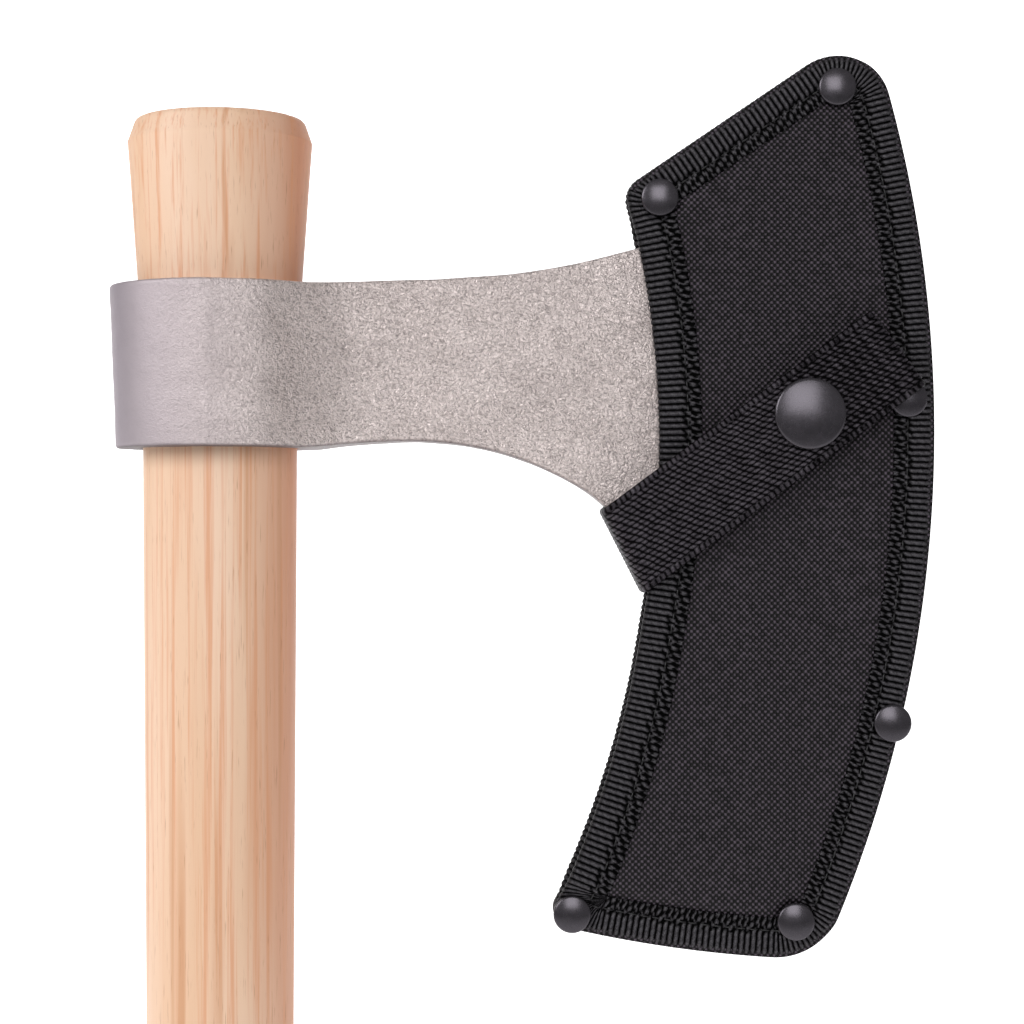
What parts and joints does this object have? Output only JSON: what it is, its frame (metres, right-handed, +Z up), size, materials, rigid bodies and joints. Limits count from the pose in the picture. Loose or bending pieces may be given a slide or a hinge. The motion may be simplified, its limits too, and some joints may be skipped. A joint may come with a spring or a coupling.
{
  "type": "hatchet",
  "caption": "Bearded hatchet on a straight tapered wooden handle, its blade in a bound and riveted fabric sheath held by a webbing strap with a snap.",
  "frame": {"origin": "centre of the handle's butt end", "axes": "+Z up the handle towards the head, +X from the handle towards the cutting edge, -Y out of the sheath's snap side"},
  "size_m": [0.1769, 0.0382, 0.5714],
  "materials": {
    "handle_wood": "smooth, lightly oiled hickory",
    "forged_steel": "rough as-forged steel, blasted grey",
    "nylon_canvas": "black coarse plain-weave nylon",
    "nylon_tape": "black ribbed nylon binding tape",
    "webbing": "black heavy woven webbing",
    "liner_plastic": "black polyethylene sheet",
    "black_metal": "satin black enamel on brass"
  },
  "bodies": {
    "axe": {"handle": "handle_wood", "axe_head": "forged_steel"},
    "sheath": {"back_liner": "liner_plastic", "back_mouth_binding": "nylon_tape", "back_panel": "nylon_canvas", "edge_binding": "nylon_tape", "edge_welt": "liner_plastic", "front_liner": "liner_plastic", "front_mouth_binding": "nylon_tape", "front_panel": "nylon_canvas", "rivet_cap_edge_lower": "black_metal", "rivet_cap_edge_upper": "black_metal", "rivet_cap_heel": "black_metal", "rivet_cap_mouth_bottom": "black_metal", "rivet_cap_mouth_top": "black_metal", "rivet_cap_toe": "black_metal", "rivet_post_edge_lower": "black_metal", "rivet_post_edge_upper": "black_metal", "rivet_post_heel": "black_metal", "rivet_post_mouth_bottom": "black_metal", "rivet_post_mouth_top": "black_metal", "rivet_post_toe": "black_metal", "snap_eyelet": "black_metal", "snap_stud": "black_metal", "strap_back": "webbing", "strap_fold": "webbing"},
    "strap": {"strap_flap": "webbing", "strap_hem": "webbing", "snap_cap": "black_metal", "snap_socket": "black_metal"}
  },
  "joints": [
    {"name": "sheath_slide", "type": "slide", "parent": "axe", "child": "sheath", "axis": [0.9781, 0, 0.2079], "range_m": [0, 0.1]},
    {"name": "strap_open", "type": "hinge", "parent": "sheath", "child": "strap", "pos_m": [0.0868, 0, 0.4654], "axis": [0.4555, 0, -0.8902], "range_deg": [0, 150], "deforming": ["strap_fold"]}
  ]
}
